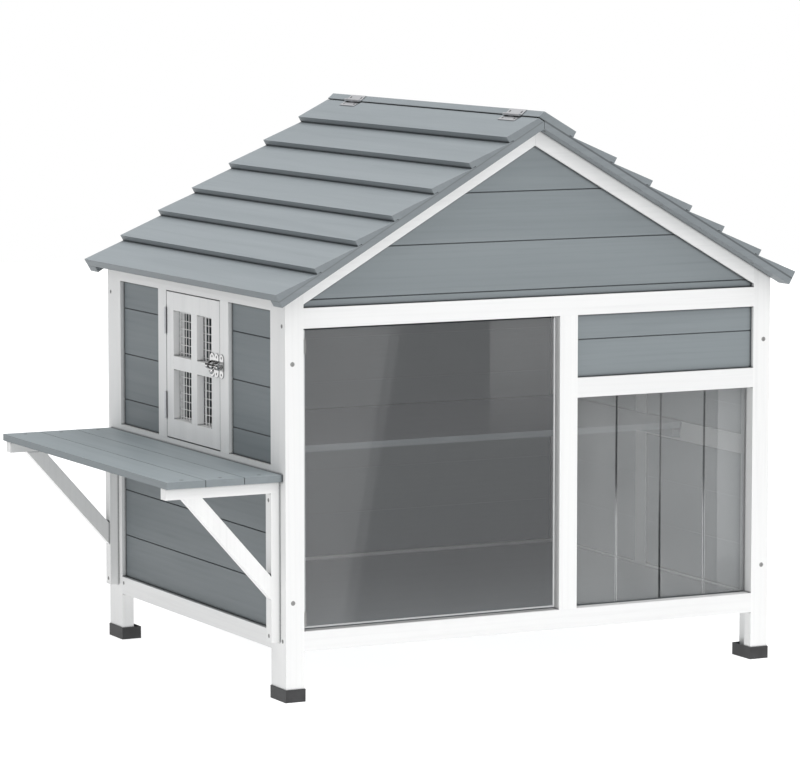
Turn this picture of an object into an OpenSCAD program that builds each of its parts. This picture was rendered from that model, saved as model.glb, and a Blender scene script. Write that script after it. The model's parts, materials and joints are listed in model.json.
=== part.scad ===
// Two-storey garden house for a small pet: framed and boarded walls, a gabled
// lap-board roof with one hinged half, a clear front door, a strip-curtain
// entrance, a barred side window that opens and a bracketed side deck.
// X runs along the front, Y from the front to the back, Z up.

/* [House body] */
// Width over the two front posts
body_w = 1000; // [960:10:1040]
// Depth from the front face to the back face
body_d = 793.4; // [780:0.2:820]
// Thickness of the frame timber
frame_t = 23; // [22:0.5:24]
// Width of a front or back post
post_w = 36; // [34:1:38]
// Width of a side stile
stile_w = 38; // [36:1:40]
// Height of a frame rail
rail_h = 36; // [35:1:38]
// Underside of the bottom rails above the ground
leg_h = 89.5; // [85:0.5:95]
// Underside of the middle rails
mid_z = 381.6; // [378:0.2:386]
// Underside of the front and back top rails
top_z = 665; // [662:1:668]
// Height of the frame's peak under the roof
apex_z = 1007; // [1000:1:1010]
// Roof slope in degrees
slope = 30; // [29.5:0.1:30.2]

/* [Wall boards] */
// Thickness of a wall board
board_t = 12; // [11:0.5:13]
// Depth that the boards sit back from the frame's outer face
recess = 8; // [7:0.5:9]
// Bevel along each board's outer edges
groove = 1.2; // [0.8:0.1:1.6]
// Length that one board laps behind the next
lap = 5; // [4:0.5:6]

/* [Roof] */
// Length of a roof slope from the peak to the eave
roof_len = 601; // [597:1:606]
// Thickness of a lap board at its lower edge
lap_t = 14.5; // [13:0.5:15]
// Thickness of a lap board where the next one covers it
lap_thin = 2.5; // [2:0.5:4]
// Height of the roof battens
batten_h = 12.5; // [12:0.5:14]
// Width of the roof battens
batten_w = 36; // [34:1:38]
// Roof overhang in front of the house
front_over = 33; // [28:1:35]
// Roof overhang behind the house
back_over = 34; // [30:1:36]

/* [Front] */
// Left edge of the middle stile
mid_stile_x = 552.5; // [545:0.5:556]
// Width of the middle stile
mid_stile_w = 36.8; // [34:0.2:38]
// Underside of the rail over the entrance
lintel_z = 514; // [508:1:524]
// Thickness of the clear door
door_t = 3; // [3:0.5:4]
// Width of one curtain strip
strip_w = 93; // [92:0.1:93.6]
// Thickness of a curtain strip
strip_t = 1.5; // [1:0.1:1.6]

/* [Side window] */
// Front edge of the opening
win_y0 = 275.5; // [272:0.5:278]
// Back edge of the opening
win_y1 = 516; // [512:0.5:520]
// Width of the jambs beside the window
jamb_w = 37; // [36:1:40]
// Spacing of the upright mesh wires
mesh_py = 12.7; // [12:0.1:16]
// Spacing of the level mesh wires
mesh_pz = 15; // [14:0.5:18]
// Mesh wire diameter
wire_d = 1.4; // [0.8:0.1:1.6]

/* [Deck and inside] */
// Reach of the side deck
deck_w = 223; // [215:1:230]
// Length of the side deck
deck_l = 771; // [760:1:771]
// Height of the deck's top face
deck_z = 406.5; // [403:0.5:410]
// Deck board thickness
deck_t = 12.5; // [11:0.5:14]
// Front edge of the shelf
shelf_y = 280; // [260:5:300]
// Top face of the shelf
shelf_z = 418; // [416:1:420]

/* [Hidden] */
white = [0.95, 0.95, 0.94];
grey = [0.53, 0.56, 0.58];
roofgrey = [0.60, 0.63, 0.64];
steel = [0.72, 0.73, 0.74];
chrome = [0.82, 0.83, 0.85];
black = [0.07, 0.07, 0.075];
W = body_w; D = body_d; T = frame_t; P = post_w; S = stile_w; H = rail_h;
ts = tan(slope); cs = cos(slope); ss = sin(slope);
gap = 0.3; fit = 0.1;
// foot caps
cap_wall = 1.5; cap_h = 23; cap_floor = 2;
// the roof panels' own axes: u runs down the slope, v stands square on it
u_end = roof_len;
top_v = batten_h + lap_t;
roof_y0 = -front_over; roof_y1 = D + back_over;
eave_out = u_end*cs + top_v*ss - W/2;
x_mid = (W + eave_out - deck_w)/2;
y_mid = (roof_y0 + roof_y1)/2;
// the boards are laid by hand, a few millimetres off an even pitch
ridge_l = 73; ridge_r = 60; lay_l = [0, 0, -1, 2, -3, 1, 0]; lay_r = [0, 8, 5, 12, 2, 4, 0];
function low(k, left) = let(r = left ? ridge_l : ridge_r) r + k*(u_end - r)/6 + (left ? lay_l[k] : lay_r[k]);
// the right ridge board laps over the peak with a bevelled lip; the left half ends on a plane 1.6 mm under it
s2 = sin(2*slope); c2 = cos(2*slope);
lip_u = -21; lip_eu = -lip_u*c2 - batten_h*s2; lip_ev = -lip_u*s2 + batten_h*c2;
lip_a = atan2(lip_ev - top_v, lip_eu + top_v*ts);
end_v = batten_h - 1.6; rb_v = 22.8;
function lend(v) = (v*c2 - end_v)/s2;
rb_a = atan2(top_v - rb_v, ridge_l - lend(rb_v));
// roof hinge
axis_u = 2.2; axis_v = lip_ev + (2.9 + sin(lip_a)*(axis_u - lip_eu))/cos(lip_a);
drop_l = -sin(rb_a)*(axis_u - lend(rb_v)) + cos(rb_a)*(axis_v - rb_v);
roof_hinge_y = [62, D - 82];
rl = 62; hl = 50; leaf_t = 1.2;
// window door
wd_y0 = win_y0 + 1.4; wd_y1 = win_y1 - 2.4; wd_z0 = mid_z + H + 2.4; wd_z1 = 692;
pane_y = [wd_y0 + 35, wd_y0 + 100, wd_y0 + 126, wd_y1 - 31];
pane_z = [wd_z0 + 35, wd_z0 + 129, wd_z0 + 153.5, wd_z1 - 33.5];
mesh_back = 15.6; cross_back = 19.6;
wh_x = -2.5; wh_y = (wd_y1 + win_y1)/2; wh_z = [454, 612.5];
latch_z = 574; bolt_r = 4.6; bolt_x = -6.4; knob_y = 279.3;
// clear door
cd_x0 = P + 1.3; cd_x1 = mid_stile_x - 8; cd_z0 = leg_h + H + 5.5; cd_z1 = top_z - 3; cd_y = 4;
ch_x = P + 2.2; ch_y = 1.9; ch_z = [134, 620]; ch_l = 26;
// curtain
cur_y = T + 0.4; cur_top = lintel_z - 2; cur_z0 = leg_h + H + 1.5;
cur_x0 = mid_stile_x + mid_stile_w + 2.8; cur_p = strip_w + 1.1;
function cur_x1(i) = min(cur_x0 + i*cur_p + strip_w, W - P - 0.5);
// walls
side_top = 694; bot_z = leg_h + H; side_bot = bot_z - 3; seam = 87.6; seam0 = 116.5;
gable_z = top_z + H; trim_w = 27;

function lapsec(z0, z1, lo, hi) = concat(
  [[0, z0 + groove], [groove, z0]],
  lo ? [[board_t/2, z0], [board_t/2, z0 + lap], [board_t, z0 + lap]] : [[board_t, z0]],
  hi ? [[board_t, z1 + lap - 0.4], [board_t/2 + 0.4, z1 + lap - 0.4], [board_t/2 + 0.4, z1 - 0.4], [groove, z1 - 0.4], [0, z1 - 0.4 - groove]]
     : [[board_t, z1], [groove, z1], [0, z1 - groove]]);
function roofline(x) = apex_z - ts*abs(x - W/2);
function seams(z0, z1) = concat([z0], [for (k = [1:12]) let(s = seam0 + k*seam) if (s > z0 + 15 && s < z1 - 15) s], [z1]);

module place() { translate([-x_mid, -y_mid, 0]) children(); }
module blk(x0, x1, y0, y1, z0, z1) { translate([x0, y0, z0]) cube([x1 - x0, y1 - y0, z1 - z0]); }
module along_y(p, y0, y1) { translate([0, y1, 0]) rotate([90, 0, 0]) linear_extrude(y1 - y0) polygon(p); }
module along_x(p, x0, x1) { translate([x0, 0, 0]) rotate([90, 0, 90]) linear_extrude(x1 - x0) polygon(p); }
module flip_x() { translate([W, 0, 0]) mirror([1, 0, 0]) children(); }
module flip_y() { translate([0, D, 0]) mirror([0, 1, 0]) children(); }
module cyl_x(x0, x1, y, z, r) { translate([x0, y, z]) rotate([0, 90, 0]) cylinder(h = x1 - x0, r = r, $fn = 32); }
module cyl_y(x, y0, y1, z, r) { translate([x, y0, z]) rotate([-90, 0, 0]) cylinder(h = y1 - y0, r = r, $fn = 32); }
module cyl_z(x, y, z0, z1, r) { translate([x, y, z0]) cylinder(h = z1 - z0, r = r, $fn = 32); }
module slope_right() { translate([W/2, 0, apex_z]) rotate([0, slope, 0]) children(); }
module slope_left() { flip_x() slope_right() children(); }

// A countersunk screw pointing down -Z from its head's top face at z = 0
module screw(l, r, hr, slot = 1) {
  difference() {
    union() {
      translate([0, 0, -l]) cylinder(h = l - 0.5, r = r, $fn = 28);
      translate([0, 0, -hr + r - 0.6]) cylinder(h = hr - r, r1 = r, r2 = hr, $fn = 28);
      translate([0, 0, -0.62]) cylinder(h = 0.62, r = hr, $fn = 28);
    }
    translate([-hr - 1, -0.5, -0.9]) cube([2*hr + 2, 1, 2]);
    if (slot == 2) translate([-0.5, -hr*0.62, -0.9]) cube([1, hr*1.24, 2]);
  }
}
// The hole that such a screw leaves, a little wider than the screw
module hole(l, r, hr) {
  translate([0, 0, -l - 0.5]) cylinder(h = l + 1, r = r + 0.05, $fn = 28);
  translate([0, 0, -hr + r - 0.65]) cylinder(h = hr - r + 0.05, r1 = r + 0.05, r2 = hr + 0.1, $fn = 28);
  translate([0, 0, -0.61]) cylinder(h = 2, r = hr + 0.1, $fn = 28);
}
module pick(as_hole, l, r, hr, slot = 2) { if (as_hole) hole(l, r, hr); else screw(l, r, hr, slot); }

// Where the screws go
module frame_bolts(h) {
  for (z = [178, 603]) translate([14, 0, z]) rotate([90, 0, 0]) pick(h, 48, 2.5, 4.2);
}
module corner_screws(h) {
  for (z = [leg_h + 19, top_z + 4.5]) translate([0, 14, z]) rotate([0, -90, 0]) pick(h, P + 26, 2, 3.6);
}
module four_ways() { children(); flip_x() children(); flip_y() children(); flip_x() flip_y() children(); }
module floor_screws(h) { for (y = [67, D - 67]) translate([0, y, leg_h + 21.5]) rotate([0, -90, 0]) pick(h, 36, 2, 3.4); }
module upright_screws(h) { for (y = [T + 11, D - T - 11]) for (z = [117, 360]) translate([-17.5, y, z]) rotate([0, -90, 0]) pick(h, 34, 2, 3.6); }
module deck_screws(h) { for (y = [T + 9.5, D - T - 9.5]) for (x = [-186, -112, -36.5]) translate([x, y, deck_z]) pick(h, 24, 1.8, 3.6); }
module batten_screws(h) {
  for (y = [roof_y0 + 16, roof_y1 - 16]) for (u = [11, 293, 519]) translate([u, y, 0.3]) mirror([0, 0, 1]) pick(h, 14, 1.6, 3.2);
}
module shelf_screws(h) { for (x = [31, W - 31]) for (i = [0:5]) translate([x, shelf_y + (i + 0.5)*(D - T - shelf_y)/6, shelf_z]) pick(h, 24, 1.6, 3.2); }
module roof_hinge_screws_fixed(h) { for (y = roof_hinge_y) for (d = [-22, 22]) translate([axis_u, y + d, axis_v]) rotate([0, -lip_a, 0]) translate([-9.8, 0, leaf_t - 2.9]) pick(h, 9.5, 1.3, 2.6, 1); }
module roof_hinge_screws_moving(h) { for (y = roof_hinge_y) for (d = [-22, 22]) translate([axis_u, y + d, axis_v]) rotate([0, -rb_a, 0]) translate([9, 0, leaf_t - drop_l]) pick(h, 9.5, 1.3, 2.6, 1); }
module latch_screws(h) { for (y = [288, 307.3]) for (z = [-15.5, 15.5]) translate([-1.5, y, latch_z + z]) rotate([0, -90, 0]) pick(h, 12, 1.2, 2.5); }
module keeper_screws(h) { for (z = [-15.5, 15.5]) translate([-1.5, 266.6, latch_z + z]) rotate([0, -90, 0]) pick(h, 12, 1.2, 2.5); }
module window_leaf_screws_jamb(h) { for (z = wh_z) for (d = [9, 25, 41]) translate([11, win_y1 - 1.1, z + d]) rotate([90, 0, 0]) pick(h, 12, 1.2, 2.2); }
module window_leaf_screws_door(h) { for (z = wh_z) for (d = [17, 33]) translate([11, wd_y1 + 1.1, z + d]) rotate([-90, 0, 0]) pick(h, 12, 1.2, 2.2); }
module clear_leaf_screws_post(h) { for (z = ch_z) for (d = [6.5, 19.5]) translate([P + 1, 13.5, z + d]) rotate([0, 90, 0]) pick(h, 12, 1.1, 2.2); }

// Frame
module post() {
  difference() {
    along_y([[0, cap_floor], [P, cap_floor], [P, roofline(P)], [0, roofline(0)]], 0, T);
    frame_bolts(true); corner_screws(true); clear_leaf_screws_post(true);
  }
}
module post_plain() {
  difference() {
    along_y([[0, cap_floor], [P, cap_floor], [P, roofline(P)], [0, roofline(0)]], 0, T);
    frame_bolts(true); corner_screws(true);
  }
}
module front_left_post() { color(white) place() post(); }
module front_right_post() { color(white) place() flip_x() post_plain(); }
module back_posts() { color(white) place() flip_y() { post_plain(); flip_x() post_plain(); } }
module front_middle_stile() { color(white) place() blk(mid_stile_x, mid_stile_x + mid_stile_w, 0, T, bot_z, top_z); }
module end_rail(z) {
  difference() { blk(P, W - P, 0, T, z, z + H); corner_screws(true); flip_x() corner_screws(true); }
}
module front_rails() { color(white) place() { end_rail(top_z); end_rail(leg_h); blk(mid_stile_x + mid_stile_w, W - P, 0, T, lintel_z, lintel_z + H); } }
module back_rails() { color(white) place() flip_y() { end_rail(top_z); blk(P, W - P, 0, T, mid_z, mid_z + H); end_rail(leg_h); } }
module rake_trim() {
  along_y([[P, roofline(P)], [W/2 - 0.1, roofline(W/2 - 0.1)], [W/2 - 0.1, roofline(W/2 - 0.1) - trim_w/cs], [P, roofline(P) - trim_w/cs]], 0, T);
}
module front_rake_trims() { color(white) place() { rake_trim(); flip_x() rake_trim(); } }
module back_rake_trims() { color(white) place() flip_y() { rake_trim(); flip_x() rake_trim(); } }
module gable_boards() {
  zs = [gable_z, 715, 804.4, 894, roofline(W/2)];
  low = trim_w/cs + gap;
  for (i = [0:3]) intersection() {
    along_x([for (q = lapsec(zs[i], zs[i + 1], i > 0, i < 3)) [recess + q[0], q[1]]], P + gap, W - P - gap);
    along_y([[P + gap, gable_z], [W - P - gap, gable_z], [W - P - gap, roofline(P + gap) - low], [W/2, roofline(W/2) - low], [P + gap, roofline(P + gap) - low]], 0, T + 4);
  }
}
module front_gable_boards() { color(grey) place() gable_boards(); }
module back_gable_boards() { color(grey) place() flip_y() gable_boards(); }
module boards_x(x0, x1, zs) {
  n = len(zs) - 2;
  for (i = [0:n]) along_x([for (q = lapsec(zs[i], zs[i + 1], i > 0, i < n)) [recess + q[0], q[1]]], x0 + gap, x1 - gap);
}
module boards_y(y0, y1, zs) {
  n = len(zs) - 2;
  for (i = [0:n]) along_y([for (q = lapsec(zs[i], zs[i + 1], i > 0, i < n)) [recess + q[0], q[1]]], y0 + gap, y1 - gap);
}
module front_entrance_boards() { color(grey) place() boards_x(mid_stile_x + mid_stile_w, W - P, [lintel_z + H, 619.5, top_z]); }
module back_wall_boards() { color(grey) place() flip_y() { boards_x(P, W - P, seams(bot_z, mid_z)); boards_x(P, W - P, seams(mid_z + H, top_z)); } }

// Sides
module side_stile(y0) { along_y([[0, cap_floor], [T, cap_floor], [T, roofline(T)], [0, roofline(0)]], y0, y0 + S); }
module side_top_rail() { along_y([[0, side_top], [T, side_top], [T, roofline(T)], [0, roofline(0)]], T + S, D - T - S); }
module side_bottom_rail() { difference() { blk(0, T, T + S, D - T - S, leg_h, side_bot); floor_screws(true); } }
module left_stiles() { color(white) place() difference() {
  union() { side_stile(T); side_stile(D - T - S); }
  frame_bolts(true); flip_y() frame_bolts(true); upright_screws(true);
} }
module left_rails() { color(white) place() { side_top_rail(); blk(0, T, T + S, D - T - S, mid_z, mid_z + H); side_bottom_rail(); } }
module left_window_jambs() { color(white) place() difference() {
  union() {
    blk(0, T, win_y0 - jamb_w, win_y0, mid_z + H, side_top);
    blk(0, T, win_y1, win_y1 + jamb_w, mid_z + H, side_top);
  }
  keeper_screws(true); window_leaf_screws_jamb(true);
} }
module left_wall_boards() { color(grey) place() {
  boards_y(T + S, win_y0 - jamb_w, seams(mid_z + H, side_top));
  boards_y(win_y1 + jamb_w, D - T - S, seams(mid_z + H, side_top));
  boards_y(T + S, D - T - S, seams(side_bot, mid_z));
} }
right_stile_y = 415;
module right_stiles() { color(white) place() flip_x() {
  difference() { union() { side_stile(T); side_stile(D - T - S); } frame_bolts(true); flip_y() frame_bolts(true); }
  blk(0, T, right_stile_y, right_stile_y + S, side_bot, mid_z);
  blk(0, T, right_stile_y, right_stile_y + S, mid_z + H, side_top);
} }
module right_rails() { color(white) place() flip_x() { side_top_rail(); blk(0, T, T + S, D - T - S, mid_z, mid_z + H); side_bottom_rail(); } }
module right_wall_boards() { color(grey) place() flip_x() for (zz = [[side_bot, mid_z], [mid_z + H, side_top]]) {
  boards_y(T + S, right_stile_y, seams(zz[0], zz[1]));
  boards_y(right_stile_y + S, D - T - S, seams(zz[0], zz[1]));
} }

// Inside
floor_z = bot_z - 8;
module floor_boards() {
  n = 9; p = (D - 2*T)/n;
  color(grey) place() difference() {
    for (i = [0:n - 1]) blk(T + gap, W - T - gap, T + i*p + 0.3, T + (i + 1)*p - 0.3, floor_z - 12, floor_z);
    floor_screws(true); flip_x() floor_screws(true);
  }
}
module floor_bearers() { color(white) place() for (x = [T, W/2 - 9, W - T - 18]) blk(x, x + 18, T, D - T, leg_h, floor_z - 12); }
module shelf_boards() {
  n = 6; p = (D - T - shelf_y)/n;
  color(grey) place() difference() {
    for (i = [0:n - 1]) blk(T + gap, W - T - gap, shelf_y + i*p + 0.3, shelf_y + (i + 1)*p - 0.3, shelf_z - 12, shelf_z);
    shelf_screws(true);
  }
}
module shelf_cleats() { color(white) place() difference() {
  union() {
    blk(T, T + 18, shelf_y + 4, D - T, shelf_z - 30, shelf_z - 12);
    blk(W - T - 18, W - T, shelf_y + 4, D - T, shelf_z - 30, shelf_z - 12);
    blk(T + 18 + fit, W - T - 18 - fit, D - T - 18, D - T, shelf_z - 30, shelf_z - 12);
  }
  shelf_screws(true);
} }

// Deck
deck_y0 = (D - deck_l)/2; deck_y1 = deck_y0 + deck_l; arm_h = 20.5; arm_z = deck_z - deck_t - arm_h;
module deck_boards() {
  b = (deck_w - 2.4)/3;
  color(grey) place() difference() {
    for (i = [0:2]) blk(-deck_w + i*(b + 1.1), -deck_w + i*(b + 1.1) + b, deck_y0, deck_y1, deck_z - deck_t, deck_z);
    deck_screws(true);
  }
}
module deck_bracket_arms() { color(white) place() difference() {
  for (y = [T, D - T - 20]) blk(-deck_w + 2, 0, y, y + 20, arm_z, arm_z + arm_h);
  deck_screws(true);
} }
module deck_bracket_uprights() { color(white) place() difference() {
  for (y = [T, D - T - 22]) blk(-17.5, 0, y, y + 22, 106, arm_z);
  upright_screws(true);
} }
module deck_bracket_braces() { color(white) place() for (y = [T, D - T - 18])
  along_y([[-deck_w + 36, arm_z], [-deck_w + 72.5, arm_z], [-17.5, arm_z - 149], [-17.5, arm_z - 190]], y, y + 18); }

// Foot caps
module foot_cap() {
  difference() {
    blk(-cap_wall, P + cap_wall, -cap_wall, T + S + cap_wall, 0, cap_h);
    blk(0, P, 0, T + S, cap_floor, cap_h + 1);
  }
}
module foot_caps() { color(black) place() four_ways() foot_cap(); }

// Roof
module batten(y0, left, ue) {
  b = batten_h; vk = end_v + 1.2*ss;
  along_y(left ? [[(0.6 - 0.3*ss)/cs, 0.3], [(0.6 - vk*ss)/cs, vk], [lend(b), b], [ue, b], [ue, 0.3]]
    : [[0.15/cs, 0], [(0.15 - b*ss)/cs, b], [ue, b], [ue, 0]], y0, y0 + batten_w);
}
module battens(left) {
  batten(roof_y0, left, u_end); batten(roof_y1 - batten_w, left, u_end);
  batten((roof_y0 + roof_y1 - batten_w)/2, left, u_end - 26);
}
module lap_board(k, left) {
  ut = low(k + 1, left); ub = low(k, left); b = batten_h; last = k == 5;
  along_y(concat([[ub - 8, b], [ub - 8, b + lap_thin - 1], [ub, b + lap_thin], [ut, top_v]],
    last ? [[ut, b]] : [[ut, b + lap_thin + 0.3], [ut - 8.4, b + lap_thin + 0.3], [ut - 8.4, b]]), roof_y0, roof_y1);
}
module ridge_board(top, ur) {
  b = batten_h;
  along_y(concat(top, [[ur, top_v], [ur, b + lap_thin + 0.3], [ur - 8.4, b + lap_thin + 0.3], [ur - 8.4, b]]), roof_y0, roof_y1);
}
module right_roof_battens() { color(roofgrey) place() slope_right() difference() { battens(false); batten_screws(true); } }
module right_roof_lap_boards() { color(roofgrey) place() slope_right() difference() { for (k = [0:5]) lap_board(k, false); batten_screws(true); } }
module right_ridge_board() { color(roofgrey) place() difference() {
  slope_right() difference() { ridge_board([[lip_u, batten_h], [-top_v*ts, top_v]], ridge_r); batten_screws(true); }
  slope_left() roof_hinge_screws_fixed(true);
} }
module left_roof_battens() { color(roofgrey) place() slope_left() difference() { battens(true); translate([0, 0, 0.3]) batten_screws(true); } }
module left_roof_lap_boards() { color(roofgrey) place() slope_left() difference() { for (k = [0:5]) lap_board(k, true); translate([0, 0, 0.3]) batten_screws(true); } }
module left_ridge_board() { color(roofgrey) place() slope_left() difference() { ridge_board([[lend(batten_h), batten_h], [lend(rb_v), rb_v]], ridge_l); translate([0, 0, 0.3]) batten_screws(true); roof_hinge_screws_moving(true); } }

// Hinges: knuckle runs along local Y at the origin, leaf spreads to +X at the height h below the axis
module knuckles(list, r, bore) {
  for (q = list) difference() {
    translate([0, q[0], 0]) rotate([-90, 0, 0]) cylinder(h = q[1] - q[0], r = r, $fn = 36);
    translate([0, q[0] - 1, 0]) rotate([-90, 0, 0]) cylinder(h = q[1] - q[0] + 2, r = bore, $fn = 36);
  }
}
function outer(l) = [[0, l*0.33 - 0.1], [l*0.67 + 0.1, l]];
function inner(l) = [[l*0.33 + 0.1, l*0.67 - 0.1]];
module roof_leaf(dir, w, drop) {
  list = dir > 0 ? inner(rl) : outer(rl); other = dir > 0 ? outer(rl) : inner(rl);
  difference() {
    union() {
      translate([dir > 0 ? 0.4 : -w, 0, -drop]) cube([w - 0.4, rl, leaf_t]);
      for (q = list) {
        translate([0, q[0], 0]) rotate([-90, 0, 0]) cylinder(h = q[1] - q[0], r = 2.6, $fn = 36);
        translate([dir > 0 ? 0.6 : -2.6, q[0], -drop]) cube([2, q[1] - q[0], drop - 0.6]);
      }
    }
    translate([0, -1, 0]) rotate([-90, 0, 0]) cylinder(h = rl + 2, r = dir > 0 ? 1.25 : 1.2, $fn = 36);
    for (q = other) translate([-3.2, q[0] - 0.2, -drop - 0.5]) cube([6.4, q[1] - q[0] + 0.4, drop + 4]);
  }
}
module roof_hinge_at() { for (y = roof_hinge_y) translate([axis_u, y - rl/2, axis_v]) children(); }
module roof_hinge_fixed_leaves() { color(steel) place() slope_left() difference() { roof_hinge_at() rotate([0, -lip_a, 0]) roof_leaf(-1, 17, 2.9); roof_hinge_screws_fixed(true); } }
module roof_hinge_moving_leaves() { color(steel) place() slope_left() difference() { roof_hinge_at() rotate([0, -rb_a, 0]) roof_leaf(1, 15.5, drop_l); roof_hinge_screws_moving(true); } }
module roof_hinge_pins() { color(steel) place() slope_left() roof_hinge_at() rotate([-90, 0, 0]) cylinder(h = rl, r = 1.2, $fn = 36); }

// Side window
module window_door_frame() { color(white) place() difference() {
  union() {
    blk(0, T, wd_y0, pane_y[0] - fit, wd_z0, wd_z1);
    blk(0, T, pane_y[3] + fit, wd_y1, wd_z0, wd_z1);
    blk(0, T, pane_y[0], pane_y[3], wd_z0, pane_z[0] - fit);
    blk(0, T, pane_y[0], pane_y[3], pane_z[3] + fit, wd_z1);
  }
  latch_screws(true); window_leaf_screws_door(true);
}
color(white) place() {
  blk(0, 12.4, pane_y[1], pane_y[2], pane_z[0], pane_z[3]);
  blk(0, 12.4, pane_y[0], pane_y[1] - fit, pane_z[1], pane_z[2]);
  blk(0, 12.4, pane_y[2] + fit, pane_y[3], pane_z[1], pane_z[2]);
  // the cross is doubled behind the mesh
  blk(mesh_back, cross_back, pane_y[1], pane_y[2], pane_z[0], pane_z[3]);
  blk(mesh_back, cross_back, pane_y[0], pane_y[1] - fit, pane_z[1], pane_z[2]);
  blk(mesh_back, cross_back, pane_y[2] + fit, pane_y[3], pane_z[1], pane_z[2]);
} }
module window_mesh() {
  r = wire_d/2; ny = floor((pane_y[3] - pane_y[0] - 4)/mesh_py); nz = floor((pane_z[3] - pane_z[0] - 4)/mesh_pz);
  y0 = (pane_y[0] + pane_y[3] - ny*mesh_py)/2; z0 = (pane_z[0] + pane_z[3] - nz*mesh_pz)/2;
  color(chrome) place() {
    for (i = [0:ny]) cyl_z(13.3, y0 + i*mesh_py, pane_z[0], pane_z[3], r);
    for (i = [0:nz]) cyl_y(13.3 + 2*r + 0.02, pane_y[0], pane_y[3], z0 + i*mesh_pz, r);
  }
}
module window_screws() { color(steel) place() { latch_screws(false); window_leaf_screws_door(false); } }
module window_leaf(dir) {
  // leaf stands square to Y, knuckle axis along Z
  r = 2.3; list = dir > 0 ? outer(hl) : inner(hl); other = dir > 0 ? inner(hl) : outer(hl);
  difference() {
    union() {
      translate([0.9 - wh_x - 0.9, dir > 0 ? 0.1 : -1.2, 0]) cube([20, 1.1, hl]);
      for (q = list) {
        translate([0, 0, q[0]]) cylinder(h = q[1] - q[0], r = r, $fn = 36);
        translate([0, dir > 0 ? 0.1 : -1.2, q[0]]) cube([4, 1.1, q[1] - q[0]]);
      }
    }
    translate([0, 0, -1]) cylinder(h = hl + 2, r = dir > 0 ? 1.1 : 1.15, $fn = 36);
    for (q = other) translate([-3, -3, q[0] - 0.2]) cube([5.5 + 0.02, 6, q[1] - q[0] + 0.4]);
  }
}
module window_hinge_at() { for (z = wh_z) translate([wh_x, wh_y, z]) children(); }
module window_hinge_jamb_leaves() { color(steel) place() difference() { window_hinge_at() window_leaf(1); window_leaf_screws_jamb(true); } }
module window_hinge_door_leaves() { color(steel) place() difference() { window_hinge_at() window_leaf(-1); window_leaf_screws_door(true); } }
module window_hinge_pins() { color(steel) place() window_hinge_at() cylinder(h = hl, r = 1.1, $fn = 36); }

// Barrel bolt
module strap(y0, w) {
  difference() {
    union() { cyl_y(bolt_x, y0, y0 + w, latch_z, 7.4); blk(bolt_x, -1.5, y0, y0 + w, latch_z - 7.4, latch_z + 7.4); }
    cyl_y(bolt_x, y0 - 1, y0 + w + 1, latch_z, bolt_r + 0.09);
    blk(-0.75, 5, y0 - 1, y0 + w + 1, latch_z - 8, latch_z + 8);
  }
}
// A plate with round ends, standing upright on the wall
module lobe(y, r) { cyl_x(-1.5, 0, y, latch_z - 21.5 + r, r); cyl_x(-1.5, 0, y, latch_z + 21.5 - r, r); blk(-1.5, 0, y - r, y + r, latch_z - 21.5 + r, latch_z + 21.5 - r); }
module latch_plate() { color(chrome) place() difference() {
  union() { lobe(288, 9.6); lobe(307.3, 9.6); blk(-1.5, 0, 290, 305, latch_z - 12, latch_z + 12); strap(284, 8); strap(303.3, 8); }
  latch_screws(true);
} }
module latch_keeper() { color(chrome) place() difference() {
  union() { lobe(266.6, 8.4); strap(258.4, 6); }
  keeper_screws(true);
} }
module latch_bolt() { color(chrome) place() {
  cyl_y(bolt_x, 272, 314, latch_z, bolt_r);
  translate([bolt_x, knob_y, latch_z]) rotate([0, -135, 0]) {
    cylinder(h = 10, r = 1.6, $fn = 32);
    translate([0, 0, 12.6]) rotate_extrude($fn = 40) polygon(concat([[0, -4.8]], [for (a = [-75:15:75]) [4.8*cos(a), 4.8*sin(a)]], [[0, 4.8]]));
  }
} }

// Clear door
module clear_door() { color([0.8, 0.84, 0.86, 0.35]) place() difference() {
  blk(cd_x0, cd_x1, cd_y, cd_y + door_t, cd_z0, cd_z1);
  for (z = ch_z) blk(cd_x0 - 1, ch_x + 3, cd_y - 1, cd_y + door_t + 1, z - 0.6, z + ch_l + 0.6);
} }
kout = [[0, 8.2], [17.8, 26]]; kin = [[8.4, 17.6]];
// The post's leaf stands on the post's inner side; the door's leaf passes through a notch and lies on the sheet's back
module clear_leaf(list, post_side) {
  r = 1.8; other = post_side ? kin : kout; yb = cd_y + door_t - ch_y;
  difference() {
    union() {
      if (post_side) translate([P - ch_x, 1.2, 0]) cube([1, 16, ch_l]);
      else {
        translate([0.7, yb, 0]) cube([5.6, 1.1, ch_l]);
        translate([0.7, 1.2, kin[0][0]]) cube([1.1, yb, kin[0][1] - kin[0][0]]);
      }
      for (q = list) {
        translate([0, 0, q[0]]) cylinder(h = q[1] - q[0], r = r, $fn = 36);
        if (post_side) translate([P - ch_x, 0, q[0]]) cube([1.2, 1.7, q[1] - q[0]]);
      }
    }
    translate([0, 0, -1]) cylinder(h = ch_l + 2, r = post_side ? 0.9 : 0.95, $fn = 36);
    for (q = other) translate([-2.05, -2.2, q[0] - 0.2]) cube([4.3, 4.3, q[1] - q[0] + 0.4]);
  }
}
module clear_hinge_at() { for (z = ch_z) translate([ch_x, ch_y, z]) children(); }
module clear_door_hinge_post_leaves() { color(steel) place() difference() { clear_hinge_at() clear_leaf(kout, true); clear_leaf_screws_post(true); } }
module clear_door_hinge_door_leaves() { color(steel) place() clear_hinge_at() clear_leaf(kin, false); }
module clear_door_hinge_pins() { color(steel) place() clear_hinge_at() cylinder(h = ch_l, r = 0.9, $fn = 36); }

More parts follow.
